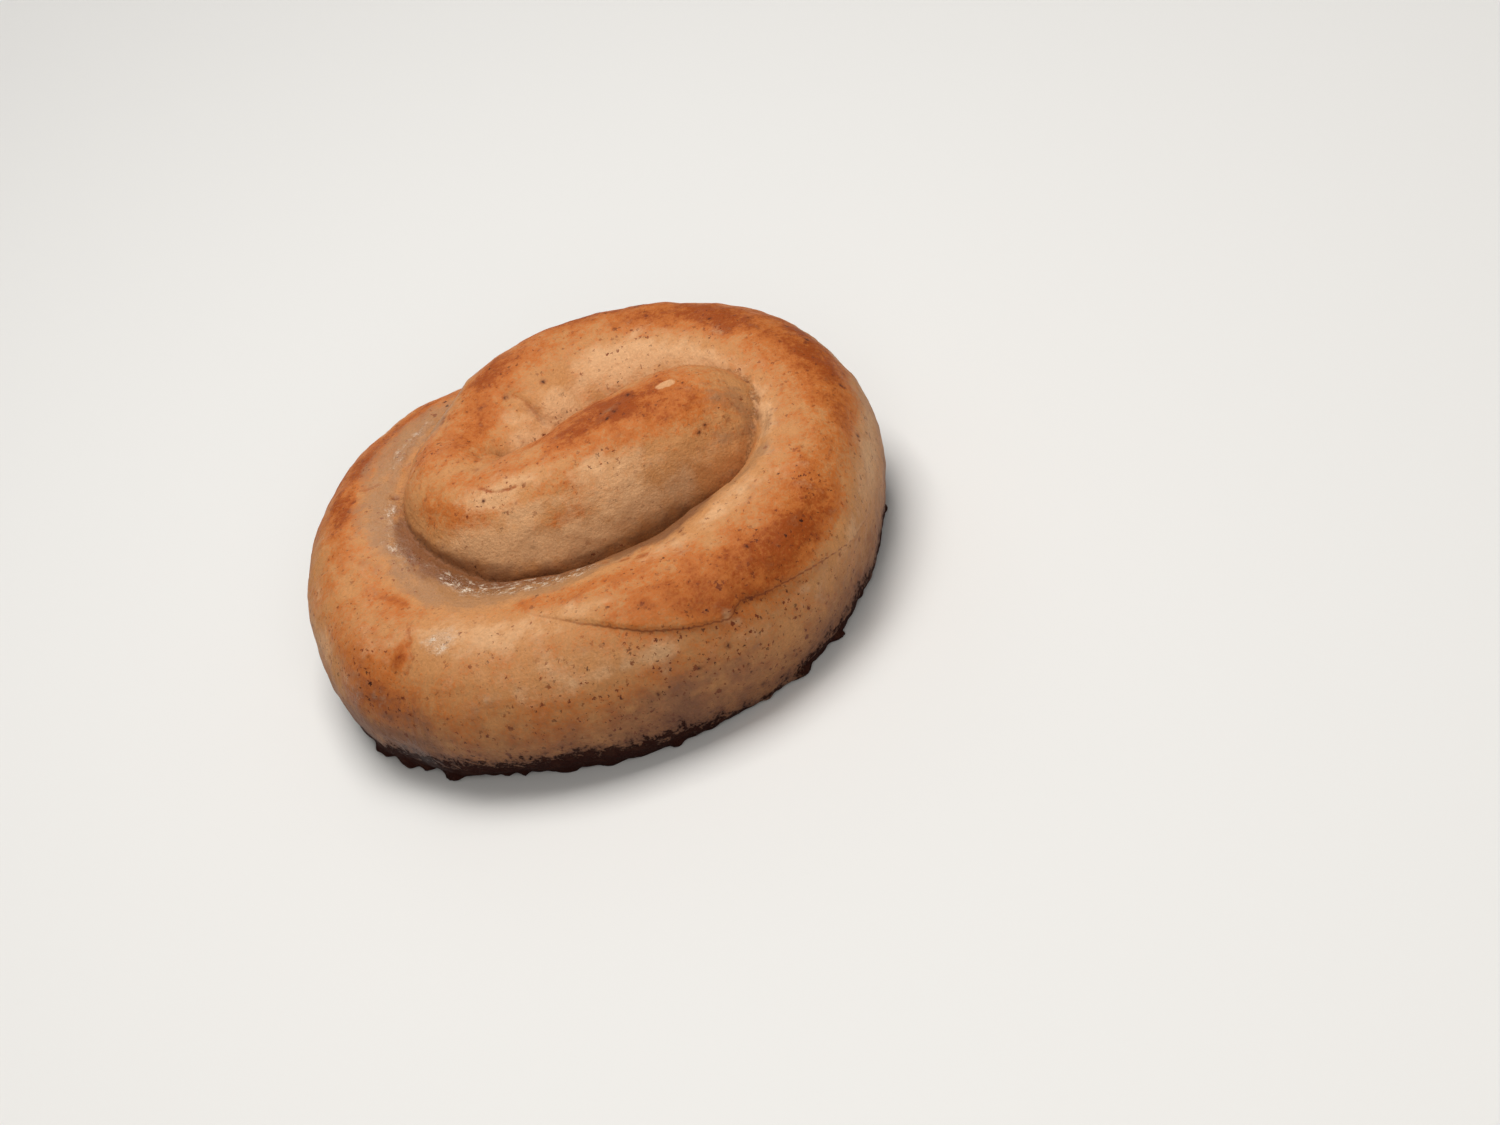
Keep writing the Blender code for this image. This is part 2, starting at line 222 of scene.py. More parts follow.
# Where fat has soaked in, beside the groove.
OILINESS = (
    (34.0, 96.0, 22.0, 12.0, 1.0),
    (66.0, 102.0, 20.0, 12.0, 0.9),
    (92.0, 112.0, 20.0, 12.0, 0.9),
    (118.0, 112.0, 20.0, 10.0, 1.0),
    (142.0, 110.0, 16.0, 8.0, 0.9),
    (165.0, 118.0, 16.0, 7.0, 0.9),
    (340.0, 62.0, 12.0, 14.0, 0.8),
    (439.0, 56.0, 9.0, 34.0, 0.7),
    (392.0, 12.0, 24.0, 7.0, 0.4),
    (205.0, 112.0, 22.0, 12.0, 0.7),
    (106.0, 108.0, 22.0, 12.0, 1.0),
)
# Where it is wet and glossy, with white glints painted on in streaks.
WETNESS = (
    (66.0, 108.0, 8.0, 7.0, 0.5),
    (80.0, 104.0, 6.0, 5.0, 0.4),
    (34.0, 100.0, 14.0, 6.0, 0.4),
    (90.0, 110.0, 10.0, 8.0, 0.35),
    (106.0, 120.0, 8.0, 6.0, 0.6),
    (118.0, 123.0, 11.0, 10.0, 1.0),
    (134.0, 121.0, 13.0, 10.0, 1.1),
    (148.0, 117.0, 8.0, 7.0, 0.8),
    (119.5, 74.0, 5.0, 13.0, 0.6),
    (102.0, 20.0, 8.0, 18.0, 0.3),
    (114.0, -8.0, 5.0, 14.0, 0.45),
)
# Where few dark specks lie.
CLEANNESS = (
    (128.0, 38.0, 17.0, 34.0, 1.0),
    (396.0, 36.0, 26.0, 22.0, 0.8),
)
# Where the soot of the foot is smeared further up the outside.
SOOTINESS = (
    (104.0, 34.0, 10.0, 18.0, 0.35),
    (112.0, -6.0, 13.0, 20.0, 1.0),
    (98.0, 2.0, 12.0, 12.0, 0.5),
    (116.0, 22.0, 4.0, 16.0, 0.5),
    (164.0, 2.0, 18.0, 16.0, 0.65),
    (270.0, 0.0, 40.0, 12.0, 0.4),
)

# Dark grease in the groove between the tongue and the ring round it, with the shade of the groove
# painted in with it. It reaches up to these angles on the outer side of the tongue, this strong,
# and down to these on the inner side of the ring.
TONGUE_GREASE_AND_SHADE = ((346.0, -90.0, 0.7), (354.0, 27.0, 0.75), (366.0, 33.0, 0.7), (373.0, 31.0, 0.6),
                 (379.0, 26.0, 0.5), (386.0, 17.0, 0.4), (391.0, 13.0, 0.4), (397.0, 16.0, 0.4),
                 (405.0, 18.0, 0.42), (414.0, 18.0, 0.42), (428.0, 12.0, 0.42),
                 (442.0, -90.0, 0.42))
RING_GREASE_AND_SHADE = ((54.0, 180.0), (62.0, 118.0), (70.0, 110.0), (78.0, 107.0), (98.0, 109.0),
               (104.0, 116.0), (112.0, 121.0), (130.0, 123.0), (150.0, 119.0), (163.0, 115.0),
               (171.0, 107.0), (180.0, 109.0), (192.0, 117.0), (204.0, 180.0))
TONGUE_EDGE, RING_EDGE = 6.0, 15.0   # degrees over which it fades
GREASE_AND_SHADE_ROUNDS = 14   # how often it is then averaged with what is round it

# How much duller the outside of the coil is towards its foot: length along the roll, share. It
# is full up to the first angle and gone at the second.
DULLNESS = ((0.0, 0.8), (64.0, 0.8), (90.0, 0.4), (120.0, 1.0), (178.0, 1.0),
            (198.0, 0.4), (225.0, 0.15), (250.0, 0.6), (325.0, 0.8), (355.0, 0.0))
DULL_BELOW, DULL_ABOVE = 10.0, 100.0

# How far up the foot of the outside is burnt: length along the roll, height.
BURNT_EDGE = ((0.0, 5.0), (90.0, 5.5), (100.0, 7.5), (112.0, 8.3), (148.0, 8.3), (156.0, 6.5),
              (163.0, 5.0), (169.0, 2.5), (174.0, 0.5), (181.0, 0.8), (187.0, 4.0), (215.0, 4.2),
              (240.0, 5.0), (448.0, 5.0))

# Dark baked spots: length along the roll, angle, radius.
SPOTS = (
    (415.9, 97.0, 1.1), (416.8, 94.0, 0.7), (411.1, 90.0, 1.0), (408.7, 88.0, 0.9),
    (436.5, 62.0, 0.5), (433.9, 50.0, 0.6), (425.5, 47.0, 0.6), (427.9, 50.0, 0.6),
    (227.0, 107.0, 0.55), (331.7, 106.0, 0.75), (328.1, 104.0, 0.4), (319.7, 116.0, 0.7),
    (176.7, 104.0, 0.7), (176.7, 99.0, 0.5), (193.5, 30.0, 0.7), (221.2, 32.0, 0.8),
    (224.8, 18.0, 0.6), (232.0, 48.0, 0.7), (247.6, 58.0, 0.8), (260.8, 76.0, 0.9),
    (289.7, 74.0, 0.8), (269.2, 90.0, 0.6), (173.1, 16.0, 0.8), (174.3, 0.0, 0.8),
    (176.0, -8.0, 0.8), (109.4, 8.0, 0.8), (58.9, 110.0, 0.9), (378.0, 66.0, 0.5),
    (340.0, 70.0, 0.8), (342.0, 72.0, 0.7), (186.0, 45.0, 0.8), (184.0, 62.0, 0.6),
    (111.0, 4.0, 0.8), (114.0, 10.0, 0.6), (116.5, 2.0, 0.7), (118.0, -3.0, 0.7),
    (104.0, 2.0, 0.6), (120.0, 0.0, 0.5), (159.0, 8.0, 0.6), (162.0, 4.0, 0.6),
    (154.0, -4.0, 0.7), (167.0, 12.0, 0.6),
)
SPOT_REACH = 2.0   # how far a spot's stain reaches, in its own radius

# The colours, as linear red, green and blue.
BISCUIT = (0.565, 0.250, 0.086)
CREAM = (0.690, 0.375, 0.178)
GOLD = (0.520, 0.150, 0.029)
DEEP = (0.310, 0.061, 0.007)
OILY = (0.358, 0.178, 0.075)
# the brown of grease, which also colours the shade painted in the groove and the hollows
TAUPE = (0.205, 0.076, 0.028)
# the white of the glints painted where it is wet
PAINTED_GLINT_WHITE = (0.860, 0.710, 0.540)
RUST = (0.200, 0.042, 0.010)
SPECK = (0.055, 0.013, 0.005)
ASH = (0.265, 0.122, 0.066)
TOAST = (0.170, 0.072, 0.042)
SCORCHED = (0.090, 0.030, 0.017)
BURNT = (0.0340, 0.0080, 0.0052)

# The material is put together from values that go by name: the fields of the mesh, these noises
# from -0.5 to 0.5, these specks, and the sums, products and steps of all of them.
NOISES = {   # size, detail, roughness, and its scale along the roll if it is drawn out that way
    "blotch": (13.0, 3.0, 0.55, None),
    "mottle": (5.5, 6.0, 0.68, None),
    "patch": (2.4, 3.0, 0.55, None),
    "fine": (0.8, 3.0, 0.6, None),
    "tiny": (0.55, 2.0, 0.55, None),
    "cinder": (1.2, 5.0, 0.55, None),
    "streak": (2.2, 4.0, 0.55, 0.3),
    "stroke": (1.6, 5.0, 0.75, 0.5),
}
SPECKS = {   # spacing, least and greatest radius, share of the places that have one
    "rust_specks": (2.8, 0.22, 0.75, 0.34),
    "small_rust_specks": (1.3, 0.20, 0.45, 0.46),
    "dark_specks": (2.2, 0.18, 0.50, 0.22),
    "small_dark_specks": (1.0, 0.12, 0.24, 0.30),
    "freckle_specks": (1.6, 0.20, 0.45, 0.60),
}
SPECK_BLUR = 0.2   # softness of their edges, as a share of the greatest radius
WOBBLE_SCALE, WOBBLE = 2.2, 1.3   # how often in a millimetre and how far their outlines wobble

SUMS = {   # the values that are added up, with their weights
    "mixed": {"blotch": 1.7, "mottle": 2.2, "patch": 0.9, "streak": 0.6, "fine": 1.5, "tiny": 0.9},
    "baked": {"browning": 1.1, "paleness_and_painted_light": -0.5, "oiliness": -0.4, "lively": 1.0},
    "pale_mix": {"paleness_and_painted_light": 1.0, "mottle": 2.4, "blotch": 1.6, "fine": 0.6, "baked": -0.3},
    "oily_mix": {"oiliness": 1.0, "mottle": 1.8, "streak": 1.2},
    "grease_and_shade_mix": {"groove_grease_and_shade": 1.0, "mottle": 0.7, "fine": 0.3, "streak": 0.7},
    "wet_mix": {"wetness": 1.0, "mottle": 1.2},
    "soot_mix": {"one": 1.0, "mottle": 2.4, "streak": 1.6, "fine": 1.0},
    "dirt": {"dirt_on_side": 1.0, "patch": 2.4, "blotch": 2.0, "dullness": 0.3,
             "browning": 0.4, "cleanness": -0.35, "dirt_at_foot": 1.0},
    "spot_mix": {"spots": 1.0, "fine": 1.6},
    "flake_mix": {"flakes": 1.0, "fine": 0.5},
    "seam_mix": {"seam": 1.0, "mottle": 0.7},
    "crease_mix": {"crease": 1.0, "mottle": 2.5},
    "above_burnt": {"height": 1.0, "blotch": -4.0, "mottle": -10.0, "patch": -11.0,
                    "fine": -12.0, "burnt_edge": -1.0},
    "above_toast": {"height": 1.0, "mottle": -14.0, "patch": -6.0, "toast_drop": 1.0},
    "lightness": {"one": 1.0, "fine": 0.4, "tiny": 0.4, "dullness": -0.28},
    "roughness": {"one": 0.57, "mottle": 0.3, "oily": -0.14, "wet": -0.24, "burnt": 0.3},
    "shine": {"one": 0.19, "oily": 0.12, "wet": 0.56, "browning": -0.07, "burnt": -0.12},
    "bumps": {"fine": 0.22, "mottle": 0.55, "tiny": 0.1, "streak": 0.2, "wet": 0.275,
              "beads": 0.55, "burnt": 0.6, "cinders": 1.2},
}
PRODUCTS = {   # the values that are multiplied
    "lively": ("liveliness", "mixed"),
    # glints painted in white streaks where it is wet
    "painted_glints": ("wet", "strokes"),
    "soot": ("sootiness", "soot_mix"),
    "rust_dots": ("rust_specks", "dirt"),
    "small_rust_dots": ("small_rust_specks", "dirt"),
    "dark_dots": ("dark_specks", "dirt"),
    "small_dark_dots": ("small_dark_specks", "dirt"),
    "freckles": ("freckle_specks", "dullness", "freckle_patches", "freckle_limit"),
    "seam_shadow": ("seam_line", "seam_presence"),
    "crease_shadow": ("crease_line", "crease_darkness", "crease_gaps"),
    "charred": ("burnt", "unscraped"),
    "beads": ("wet", "tiny"),
    "cinders": ("burnt", "cinder"),
}
STEPS = {   # the value followed, from where to where, and from what to what if not from 0 to 1
    "liveliness": ("dullness", 0.0, 1.0, 1.0, 0.7),
    "golden": ("baked", -0.2, 0.65),
    "deep": ("baked", 0.5, 1.35),
    "pale": ("pale_mix", 0.05, 0.75),
    "oily": ("oily_mix", 0.15, 0.85),
    # the groove's dark grease, with its shade painted in with it
    "grease_and_shade": ("grease_and_shade_mix", 0.05, 0.75),
    "wet": ("wet_mix", 0.2, 0.7),
    "strokes": ("stroke", 0.01, 0.11),
    "sooty": ("soot", 0.1, 0.9),
    "dirt_on_side": ("height", 5.0, 36.0, 0.8, 0.3),
    "dirt_at_foot": ("height", 4.0, 13.0, 0.7, 0.0),
    "freckle_patches": ("patch", -0.05, 0.1),
    "freckle_limit": ("cleanness", 0.0, 1.0, 1.0, 0.3),
    "rusty_spots": ("spot_mix", 0.1, 1.3, 0.0, 0.5),
    "dark_spots": ("spot_mix", 1.0, 1.6, 0.0, 0.9),
    "loose_flakes": ("flake_mix", 0.2, 0.4),
    "seam_line": ("seam_distance", 0.03, 0.38, 1.0, 0.0),
    "crease_line": ("crease_mix", 0.3, 1.6, 1.0, 0.0),
    "crease_gaps": ("patch", -0.15, 0.1),
    # painted shade in the hollows of the skin
    "hollow_shade": ("hollow", 0.15, 1.1),
    "toast_drop": ("burnt_edge", 1.0, 5.0, 5.0, 0.0),
    "toasted": ("above_toast", 4.0, 24.0, 1.0, 0.0),
    "scorched": ("above_burnt", 0.0, 4.0, 1.0, 0.0),
    "burnt": ("above_burnt", -1.0, 1.0, 1.0, 0.0),
    "unscraped": ("patch", 0.0, 0.2, 0.98, 0.8),
}
COATS = (   # laid over BISCUIT one after the other: value, how much it covers at most, colour
    ("golden", 1.0, GOLD),
    ("deep", 1.0, DEEP),
    # pale crust, and light painted on the wall of the tongue
    ("pale", 1.0, CREAM),
    ("oily", 0.7, OILY),
    # dark grease of the groove and the shade painted in with it
    ("grease_and_shade", 0.85, TAUPE),
    # painted glints
    ("painted_glints", 0.85, PAINTED_GLINT_WHITE),
    ("sooty", 0.75, ASH),
    ("rust_dots", 1.0, RUST),
    ("small_rust_dots", 1.0, RUST),
    ("dark_dots", 1.0, SPECK),
    ("small_dark_dots", 1.0, SPECK),
    ("freckles", 0.85, SPECK),
    ("rusty_spots", 1.0, RUST),
    ("dark_spots", 1.0, SPECK),
    ("loose_flakes", 0.8, CREAM),
    ("seam_shadow", 0.7, RUST),
    ("crease_shadow", 1.0, DEEP),
    # painted shade in the hollows
    ("hollow_shade", 0.4, TAUPE),
    ("toasted", 0.85, TOAST),
    ("scorched", 0.6, SCORCHED),
    ("charred", 1.0, BURNT),
)
BUMP_STRENGTH = 0.9

# The floor and the lights, in metres and watts.
FLOOR_HALF = 3.0
FLOOR_DROP = 0.0002   # how far it lies below the base, so that the two don't coincide
FLOOR_COLOUR = (0.80, 0.79, 0.77, 1.0)
FLOOR_ROUGHNESS = 0.8
LIGHTS = (   # name, place, size, power, colour
    ("overhead", (0.0, 0.12, 0.85), 0.5, 5.9, (1.0, 0.99, 0.97)),
    ("front", (0.0, -0.68, 0.48), 0.5, 1.9, (1.0, 0.98, 0.95)),
    ("back", (-0.10, 0.80, 0.35), 0.4, 0.5, (1.0, 1.0, 1.0)),
)
WORLD_COLOUR = (1.0, 0.99, 0.97, 1.0)
WORLD_STRENGTH = 0.22

# The camera looks down on TARGET from ELEVATION and DISTANCE, turned about its own axis, so that
# the target falls on its pixel of the image. Metres, pixels and degrees; the sensor is in
# millimetres.
TARGET = (-0.00022, -0.00337, 0.0)
TARGET_PIXEL = (625.0, 600.0)
IMAGE = (1500.0, 1125.0)
ELEVATION = 36.0
TURN = 22.5
DISTANCE = 0.70
FOCAL_PIXELS = 2975.0
SENSOR = 36.0
CLIP_START = 0.01


def smooth_path(rows, step):
    """Samples a Catmull-Rom curve through the rows, evenly along its length in plan."""
    rows = np.array(rows, float)
    ends = np.vstack([2 * rows[0] - rows[1], rows, 2 * rows[-1] - rows[-2]])
    shares = np.linspace(0.0, 1.0, CURVE_POINTS, endpoint=False)[:, None]
    spans = [0.5 * (2 * b + (c - a) * shares + (2 * a - 5 * b + 4 * c - d) * shares**2
                    + (3 * b - a - 3 * c + d) * shares**3)
             for a, b, c, d in zip(ends, ends[1:], ends[2:], ends[3:])]
    fine = np.vstack(spans + [rows[-1:]])
    along = np.concatenate([[0.0], np.cumsum(np.hypot(*np.diff(fine[:, :2], axis=0).T))])
    wanted = np.linspace(0.0, along[-1], int(along[-1] / step) + 1)
    return wanted, np.column_stack([np.interp(wanted, along, column) for column in fine.T])


def closing(distance, length):
    """The rounding of an end: nothing at its point, full size after the given length."""
    share = np.clip(1.0 - distance / length, 0.0, 1.0)
    return np.sqrt(1.0 - share**CLOSING_POWER)


def signed_power(value, power):
    return np.sign(value) * np.abs(value) ** power


def ease(value):
    """A smooth step from 0 to 1 as the value goes from 0 to 1."""
    value = np.clip(value, 0.0, 1.0)
    return value * value * (3 - 2 * value)


def bell(distance, width):
    """1 at the middle, falling off smoothly over the width."""
    return np.exp(-(distance / width) ** 2)


def turned(degrees, centre):
    """The angle from the centre, from -180 to 180."""
    return (degrees - centre + 180.0) % 360.0 - 180.0


class Roll:
    """The centre line of the roll, with its sections."""

    def __init__(self):
        self.along, rows = smooth_path(STATIONS, RING_STEP)
        self.plan = rows[:, :2] - CENTRE
        self.outward, self.inward, self.crest, self.foot, self.shoulder = rows[:, 2:].T
        heading = np.gradient(self.plan, axis=0)
        self.heading = heading / np.linalg.norm(heading, axis=1)[:, None]
        self.out = np.column_stack([self.heading[:, 1], -self.heading[:, 0]])
        self.close = np.maximum(closing(self.along, TAIL_LENGTH)
                                * closing(self.along[-1] - self.along, TONGUE_LENGTH), END_WIDTH)
        self.waist = self.crest * WAIST
        self.top = (self.crest - self.waist) * (END_HEIGHT + (1 - END_HEIGHT) * self.close)

    def reach(self, i, z, outside):
        """How far the roll stands out from its crest in plan, at a height."""
        drop = np.clip(1.0 - z / self.waist[i], 0.0, None)
        reach = np.where(outside, self.outward[i] - self.foot[i] * drop**FOOT_POWER,
                         self.inward[i] + LOW_SPREAD * np.sqrt(drop))
        return reach * self.close[i]

    def power(self, i, outside, above):
        return np.where(above, np.where(outside, TOP_POWER, self.shoulder[i]), LOW_POWER)

    def section(self, i, angles):
        """The outline of one section, as points (x, y, z), flat where it rests."""
        outside, above = np.cos(angles) > 0, np.sin(angles) >= 0
        power = self.power(i, outside, above)
        across = signed_power(np.cos(angles), 2 / power)
        up = signed_power(np.sin(angles), 2 / power)
        z = self.waist[i] + np.where(above, up * self.top[i], up * (self.waist[i] + BELOW))
        side = across * self.reach(i, z, outside)
        return np.column_stack([self.plan[i, 0] + self.out[i, 0] * side,
                                self.plan[i, 1] + self.out[i, 1] * side, np.maximum(z, 0.0)])

    def locate(self, places):
        """The length along the roll and the angle round it, for places on its skin."""
        angles = 2 * math.pi * np.arange(0, SIDES, STRIDE) / SIDES
        rings = range(0, len(self.along), STRIDE)
        tree = kdtree.KDTree(len(rings) * len(angles))
        for i in rings:
            for point in self.section(i, angles):
                tree.insert(point, i)
        tree.balance()
        i = np.array([tree.find(place)[1] for place in places])
        offset = places[:, :2] - self.plan[i]
        along = self.along[i] + np.einsum("ij,ij->i", offset, self.heading[i])
        side = np.einsum("ij,ij->i", offset, self.out[i])
        outside, above = side > 0, places[:, 2] >= self.waist[i]
        half = self.power(i, outside, above) / 2
        height = places[:, 2] - self.waist[i]
        up = height / np.where(above, self.top[i], self.waist[i] + BELOW)
        across = side / self.reach(i, places[:, 2], outside)
        angle = np.degrees(np.arctan2(signed_power(up, half), signed_power(across, half)))
        return along, angle % 360.0


def add_crumbs(points, faces, roll):
    """Adds squashed balls along the foot of the outside of the coil."""
    draw = random.Random(CRUMB_SEED)
    ball = bmesh.new()
    bmesh.ops.create_icosphere(ball, subdivisions=BALL_DETAIL, radius=1.0)
    shape = np.array([v.co for v in ball.verts])
    corners = [tuple(v.index for v in f.verts) for f in ball.faces]
    ball.free()
    start, end = OUTER_TURN
    step = (end - start) / CRUMBS
    spread = [start + step * (k + draw.uniform(-CRUMB_SCATTER, CRUMB_SCATTER))
              for k in range(CRUMBS)]
    crumbs = [(place, draw.uniform(*CRUMB_SIZE)) for place in spread
              if not LUMPS[0][0] < place < LUMPS[-1][0]]
    for place, size in [*LUMPS, *crumbs]:
        i = int(np.argmin(np.abs(roll.along - place)))
        reach = roll.outward[i] - roll.foot[i] - draw.uniform(*CRUMB_INSET) * size
        height = draw.uniform(*CRUMB_HEIGHT) * size
        centre = np.append(roll.plan[i] + roll.out[i] * reach, height)
        stretch = np.array([draw.uniform(*CRUMB_STRETCH), draw.uniform(*CRUMB_STRETCH), 1.0])
        crumb = centre + shape * stretch * size
        crumb[:, 2] = np.maximum(crumb[:, 2], 0.0)
        first = len(points)
        points.extend(crumb)
        faces.extend(tuple(first + c for c in corner) for corner in corners)


def roll_mesh(roll):
    """The whole roll as a tube that runs through itself where its turns meet, with its crumbs."""
    angles = 2 * math.pi * np.arange(SIDES) / SIDES
    rings = [roll.section(i, angles) for i in range(len(roll.along))]
    faces = []
    for i in range(len(rings) - 1):
        for k in range(SIDES):
            a, b = i * SIDES + k, i * SIDES + (k + 1) % SIDES
            faces.append((a, b, b + SIDES, a + SIDES))
    faces.append(tuple(range(SIDES))[::-1])
    faces.append(tuple(range((len(rings) - 1) * SIDES, len(rings) * SIDES)))
    points = list(np.vstack(rings))
    add_crumbs(points, faces, roll)
    mesh = bpy.data.meshes.new("roll")
    mesh.from_pydata(np.array(points) * MM, [], faces)
    return mesh


def new_object(name, data):
    item = bpy.data.objects.new(name, data)
    bpy.context.collection.objects.link(item)
    return item


def with_modifiers(mesh, *kinds):
    """The mesh after the modifiers, each given as its type and a dictionary of settings."""
    holder = new_object("holder", mesh)
    for kind, settings in kinds:
        modifier = holder.modifiers.new(kind, kind)
        for name, value in settings.items():
            setattr(modifier, name, value)
    bpy.context.view_layer.update()
    graph = bpy.context.evaluated_depsgraph_get()
    made = bpy.data.meshes.new_from_object(holder.evaluated_get(graph))
    bpy.data.objects.remove(holder)
    return made


def vertex_places(mesh):
    places = np.empty(3 * len(mesh.vertices))
    mesh.vertices.foreach_get("co", places)
    return places.reshape(-1, 3) / MM


def vertex_normals(mesh):
    normals = np.empty(3 * len(mesh.vertices))
    mesh.vertex_normals.foreach_get("vector", normals)
    return normals.reshape(-1, 3)


def grain(places, size):
    """Smooth noise from -1 to 1, with bumps of about the size."""
    return np.array([noise.noise(Vector(place)) for place in places / size])


def above_seam(along, angle):
    """How far a place is above the edge of the outermost sheet, in degrees."""
    lengths, heights = np.array(SEAM).T
    return turned(angle, 0.0) - np.interp(along, lengths, heights)


def seam_presence(along):
    """How fully the edge of the outermost sheet is there, from 0 to 1."""
    start, end = SEAM[0][0], SEAM[-1][0]
    return ease((along - start) / SEAM_STARTS) * ease((end - along) / SEAM_ENDS)


def relief(along, angle):
    """How far the crust stands proud of the smooth roll."""
    above = above_seam(along, angle)
    step = ease(above / SEAM_EDGE) * (1 - ease((above - SEAM_EDGE) / SEAM_FADE))
    lift = SEAM_RISE * seam_presence(along) * step
    for place, centre, length, span, depth in DENTS:
        lift -= depth * bell(along - place, length) * bell(turned(angle, centre), span)
    for points, width, depth, _ in CREASES:
        lift -= depth * bell(signed_distance(along, angle, points), width)
    for place, centre, length, span in FLAKES:
        out = np.hypot((along - place) / length, turned(angle, centre) / span)
        lift += FLAKE_RISE * ease((1.0 - out) * FLAKE_STEEPNESS)
    return lift


def signed_distance(along, angle, points):
    """Distance in millimetres to an open line of points, negative on its right."""
    x, y = along, turned(angle, 90.0) * MM_PER_DEGREE
    nearest = np.full(len(along), FAR)
    ends = [(a, turned(d, 90.0) * MM_PER_DEGREE) for a, d in points]
    for (ax, ay), (bx, by) in zip(ends, ends[1:]):
        length = math.hypot(bx - ax, by - ay)
        share = ((x - ax) * (bx - ax) + (y - ay) * (by - ay)) / length**2
        aside = ((y - ay) * (bx - ax) - (x - ax) * (by - ay)) / length
        beyond = np.clip(np.maximum(-share, share - 1.0), 0.0, None) * length
        distance = np.hypot(aside, beyond)
        closer = distance < np.abs(nearest)
        nearest = np.where(closer, np.where(aside < 0, -distance, distance), nearest)
    return nearest


def sculpt(mesh, roll):
    """Moves the crust in and out: the sheet's edge, folds, swells and the burnt foot."""
    places, normals = vertex_places(mesh), vertex_normals(mesh)
    along, angle = roll.locate(places)
    lift = relief(along, angle) - DEEPENING * np.clip(hollowness(mesh, HOLLOW_ROUNDS), 0.0, None)
    for size, height in SWELLS:
        lift += height * grain(places, size)
    for size, height in CRINKLES:
        lift += height * ease(1.0 - np.abs(grain(places + size, size)) / CRINKLE_WIDTH)
    burnt = BURNT_ROUGHNESS * ease(1.0 - places[:, 2] / BURNT_HEIGHT)
    lift += burnt * grain(places, BURNT_GRAIN)
    places += normals * lift[:, None]
    places[:, 2] = np.maximum(places[:, 2], 0.0)
    mesh.vertices.foreach_set("co", (places * MM).ravel())
    mesh.update()


def zone(along, angle, patches):
    """How strongly the patches together cover each place."""
    bare = np.ones(len(along))
    for place, centre, length, span, amount in patches:
        patch = amount * bell(along - place, length) * bell(turned(angle, centre), span)
        bare *= 1.0 - np.clip(patch, 0.0, 1.0)
    return 1.0 - bare


def grease_and_shade_cover(along, angle):
    """How strongly the groove's dark grease and its painted shade cover each place."""
    round_it = turned(angle, 90.0) + 90.0
    lengths, heights, shares = np.array(TONGUE_GREASE_AND_SHADE).T
    on_tongue = np.interp(along, lengths, heights) - round_it
    on_ring = round_it - np.interp(along, *np.array(RING_GREASE_AND_SHADE).T)
    return np.maximum(np.interp(along, lengths, shares) * ease(on_tongue / TONGUE_EDGE + 0.5),
                      ease(on_ring / RING_EDGE + 0.5))


def averaged(mesh, values, rounds):
    """The values of the vertices, averaged with their neighbours' that many times over."""
    ends = np.empty(2 * len(mesh.edges), int)
    mesh.edges.foreach_get("vertices", ends)
    first, second = ends.reshape(-1, 2).T
    count = np.bincount(ends, minlength=len(values))
    for _ in range(rounds):
        total = (np.bincount(first, values[second], len(values))
                 + np.bincount(second, values[first], len(values)))
        values = total / count
    return values


def hollowness(mesh, rounds):
    """How far each place lies below the average of what is round it, in millimetres."""
    places = vertex_places(mesh)
    middles = np.column_stack([averaged(mesh, column, rounds) for column in places.T])
    return np.einsum("ij,ij->i", middles - places, vertex_normals(mesh))


def add_field(mesh, name, values):
    field = mesh.attributes.new(name, "FLOAT", "POINT")
    field.data.foreach_set("value", values.astype(np.float32))


